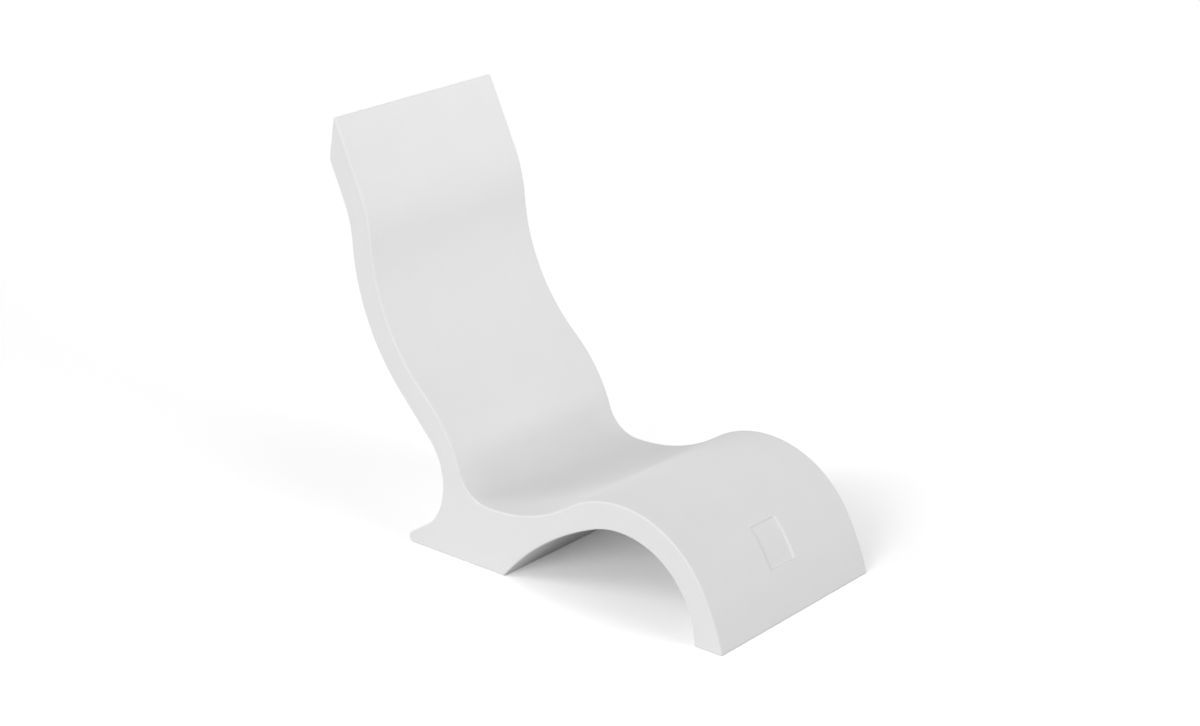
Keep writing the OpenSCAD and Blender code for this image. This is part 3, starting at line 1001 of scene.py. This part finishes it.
class LOUNGER_OT_plugs(Operator):
    """Build both plugs: a notched head with a coin slot, over a right-hand thread"""

    bl_idname = "lounger.plugs"
    bl_label = "Plugs"

    def execute(self, context):
        scene = context.scene
        sizes = scene.lounger_ports
        plastic = moulded_plug_plastic(scene.lounger_colours)
        neck, lip = neck_radius(sizes), 0.5 * MM
        under = -sizes.pocket_d + sizes.gasket_t
        top = under + sizes.head_t
        # The thread ends short of both ends of the insert, and below it the plug is bevelled
        end_gap, bevel_in, bevel_up = 0.5 * MM, 1.2 * MM, 1.5 * MM
        foot = -sizes.pocket_d - sizes.insert_l + end_gap
        low, high = foot + bevel_up, -sizes.pocket_d - end_gap

        def shank(share, w):
            fade = faded(w, low, high, sizes.thread_pitch * PLUG_FADE)
            return neck + sizes.thread_depth * share * fade

        for name, port in ports_of(scene):
            turning = Turning(port, notched_columns(sizes))
            count = len(turning.columns)
            low_ring, high_ring = turning.ring(neck, low), turning.ring(neck, high)
            turning.thread(low_ring, high_ring, low, high, sizes.thread_pitch,
                           thread_rows(sizes, low), shank)
            end = turning.ring(neck - bevel_in, foot)
            turning.faces.append(end)
            turning.join([end, low_ring])

            rings = [high_ring]
            # A small fillet leads the neck into the head
            rings += [turning.ring(neck + inset * lip, under - lip + drop * lip)
                      for inset, drop in ((0, 0), (0.3, 0.7), (1, 1))]
            rings += [turning.ring(head_radius(sizes, inset), under + drop)
                      for inset, drop in reversed(quarter_steps(lip, 3))]
            rings += [turning.ring(head_radius(sizes, inset), top - drop)
                      for inset, drop in quarter_steps(sizes.head_lip, 5)]
            # Two rings hold the face flat between the rim's rounding and the slot's
            level = 0.5 * MM
            rings.append(turning.ring(head_radius(sizes, sizes.head_lip + level), top))
            rings.append(turning.outline(slot_outline(sizes, lip + level, count), top))
            # The slot: a rounded lip, straight walls, and a rounded foot
            for out, depth, _ in edge_profile(0, sizes.slot_d, lip, lip):
                rings.append(turning.outline(slot_outline(sizes, out, count), top - depth))
            turning.join(rings)
            turning.faces.append(rings[-1])
            finish_piece(turning.mesh_object(f"{name}_screw_plug"), plastic,
                         f"{name}_plug", f"{name}_plug")
        return {"FINISHED"}


# The studio


# Each broad, far lamp: its azimuth and elevation in degrees, and its watts for each square
# metre that it lights
FAR_LAMPS = {
    "left_rear_lamp": (-140, 22, 0.95),
    "front_lamp": (0, 8, 0.98),
    "left_lamp": (-80, 22, 1),
}
SOFT_ANGLE = 30  # how wide a far lamp looks from the object, in degrees
LAMP_DISTANCE = 5  # metres, for the eye only: a far lamp's light is the same from anywhere
# The softbox above: its side in metres, its watts, what it is turned to, and how far back it is
SOFTBOX_SIDE, SOFTBOX_WATTS = 1.2, 6
SOFTBOX_AIM, SOFTBOX_BACK = Vector((0, 0.15, 0.5)), Vector((0.3, -0.55, 1.6))
CAMERA_AIM = Vector((0.1352, 0.1033, 0.4067))  # what the camera looks at
SENSOR_WIDTH = 36  # in millimetres
FILL_LIGHT = 0.4  # strength of the light that comes from all round
FLOOR_LIFT = 0.47  # how far beyond white the floor's paint is to the camera


class LOUNGER_OT_stage(Operator):
    """Build the floor, the lamps, the world and the camera"""

    bl_idname = "lounger.stage"
    bl_label = "Stage"

    def execute(self, context):
        scene = context.scene
        make_floor(scene, scene.lounger_colours)
        make_world(scene)
        make_lamps(scene)
        make_camera(scene, scene.lounger_studio)
        scene.view_settings.view_transform = "Standard"
        return {"FINISHED"}


def make_floor(scene, colours):
    """A broad pale floor. The camera sees it as white, darkened only by the object's shadow."""
    half = 30  # metres, so far out that the photograph's camera doesn't see the floor's end
    mesh = bpy.data.meshes.new("studio_floor")
    mesh.from_pydata([(-half, -half, 0), (half, -half, 0), (half, half, 0), (-half, half, 0)],
                     [], [(0, 1, 2, 3)])
    floor = bpy.data.objects.new("studio_floor", mesh)
    scene.collection.objects.link(floor)
    material, tree = new_material("painted_studio_floor")
    paint = node(tree, "BsdfDiffuse", {"Color": rgba(colours.floor)})
    # The camera sees a paint beyond white, which the lamps turn white wherever no shadow falls
    white = node(tree, "BsdfDiffuse", {"Color": (1, 1, 1, 1)})
    lift = node(tree, "BsdfDiffuse", {"Color": (FLOOR_LIFT, FLOOR_LIFT, FLOOR_LIFT, 1)})
    seen = node(tree, "AddShader", {0: white, 1: lift})
    rays = node(tree, "LightPath").outputs
    pick = node(tree, "MixShader", {0: rays["Is Camera Ray"], 1: paint, 2: seen})
    node(tree, "OutputMaterial", {"Surface": pick})
    mesh.materials.append(material)


def make_world(scene):
    world = bpy.data.worlds.new("studio_backdrop")
    world.use_nodes = True
    tree = world.node_tree
    tree.nodes.clear()
    # The backdrop is white where it is seen straight, mirrored or through something
    rays = node(tree, "LightPath").outputs
    seen = node(tree, "Math", {0: rays["Is Camera Ray"], 1: rays["Is Glossy Ray"]},
                operation="MAXIMUM")
    seen = node(tree, "Math", {0: seen, 1: rays["Is Transmission Ray"]}, operation="MAXIMUM")
    fill = node(tree, "Background", {"Color": (1, 1, 1, 1), "Strength": FILL_LIGHT})
    white = node(tree, "Background", {"Color": (1, 1, 1, 1), "Strength": 1})
    pick = node(tree, "MixShader", {0: seen, 1: fill, 2: white})
    node(tree, "OutputWorld", {"Surface": pick})
    scene.world = world


def make_lamps(scene):
    for name, (azimuth, elevation, watts) in FAR_LAMPS.items():
        lamp = bpy.data.lights.new(name, "SUN")
        lamp.angle, lamp.energy = radians(SOFT_ANGLE), watts
        holder = bpy.data.objects.new(name, lamp)
        face_object(holder, Vector(), radians(azimuth), radians(elevation), LAMP_DISTANCE)
        scene.collection.objects.link(holder)
    lamp = bpy.data.lights.new("overhead_softbox", "AREA")
    lamp.shape, lamp.size, lamp.energy = "SQUARE", SOFTBOX_SIDE, SOFTBOX_WATTS
    holder = bpy.data.objects.new("overhead_softbox", lamp)
    place_facing(holder, SOFTBOX_AIM, SOFTBOX_BACK)
    scene.collection.objects.link(holder)


def face_object(holder, aim, azimuth, elevation, distance):
    """Places a lamp or camera round the object, turned to a point of it. Azimuth 0 is at -Y."""
    place_facing(holder, aim, distance * Vector((sin(azimuth) * cos(elevation),
                                                 -cos(azimuth) * cos(elevation),
                                                 sin(elevation))))


def place_facing(holder, aim, back):
    """Places a lamp or camera this far back from the point that it is turned to."""
    holder.location = aim + back
    holder.rotation_mode = "QUATERNION"
    holder.rotation_quaternion = (-back).to_track_quat("-Z", "Y")


def make_camera(scene, studio):
    """The photograph's camera: unrolled, to the left of the toe and well above the headrest."""
    camera = bpy.data.objects.new("photo_camera", bpy.data.cameras.new("photo_camera"))
    camera.data.lens = studio.focal
    camera.data.sensor_width = SENSOR_WIDTH
    face_object(camera, CAMERA_AIM, studio.azimuth, studio.elevation, studio.distance)
    scene.collection.objects.link(camera)
    scene.camera = camera


class LOUNGER_PT_panel(Panel):
    """Lists the lounger's sizes, colours and pieces"""

    bl_idname = "LOUNGER_PT_panel"
    bl_label = "Moulded Spa Lounger"
    bl_space_type = "VIEW_3D"
    bl_region_type = "UI"
    bl_category = "Lounger"

    def draw(self, context):
        for group in GROUPS:
            box = self.layout.box()
            held = getattr(context.scene, group)
            for name in held.__annotations__:
                box.prop(held, name)
        for operator in OPERATORS:
            self.layout.operator(operator.bl_idname)


OPERATORS = [LOUNGER_OT_shell, LOUNGER_OT_inserts, LOUNGER_OT_gaskets, LOUNGER_OT_plugs,
             LOUNGER_OT_stage]


def register():
    for kind in (*GROUPS.values(), *OPERATORS, LOUNGER_PT_panel):
        bpy.utils.register_class(kind)
    for name, kind in GROUPS.items():
        setattr(bpy.types.Scene, name, PointerProperty(type=kind))


def unregister():
    for name in GROUPS:
        delattr(bpy.types.Scene, name)
    for kind in (LOUNGER_PT_panel, *reversed(OPERATORS), *reversed(list(GROUPS.values()))):
        bpy.utils.unregister_class(kind)


def main():
    register()
    bpy.ops.lounger.shell()
    bpy.ops.lounger.inserts()
    bpy.ops.lounger.gaskets()
    bpy.ops.lounger.plugs()
    bpy.ops.lounger.stage()


if __name__ == "__main__":
    main()
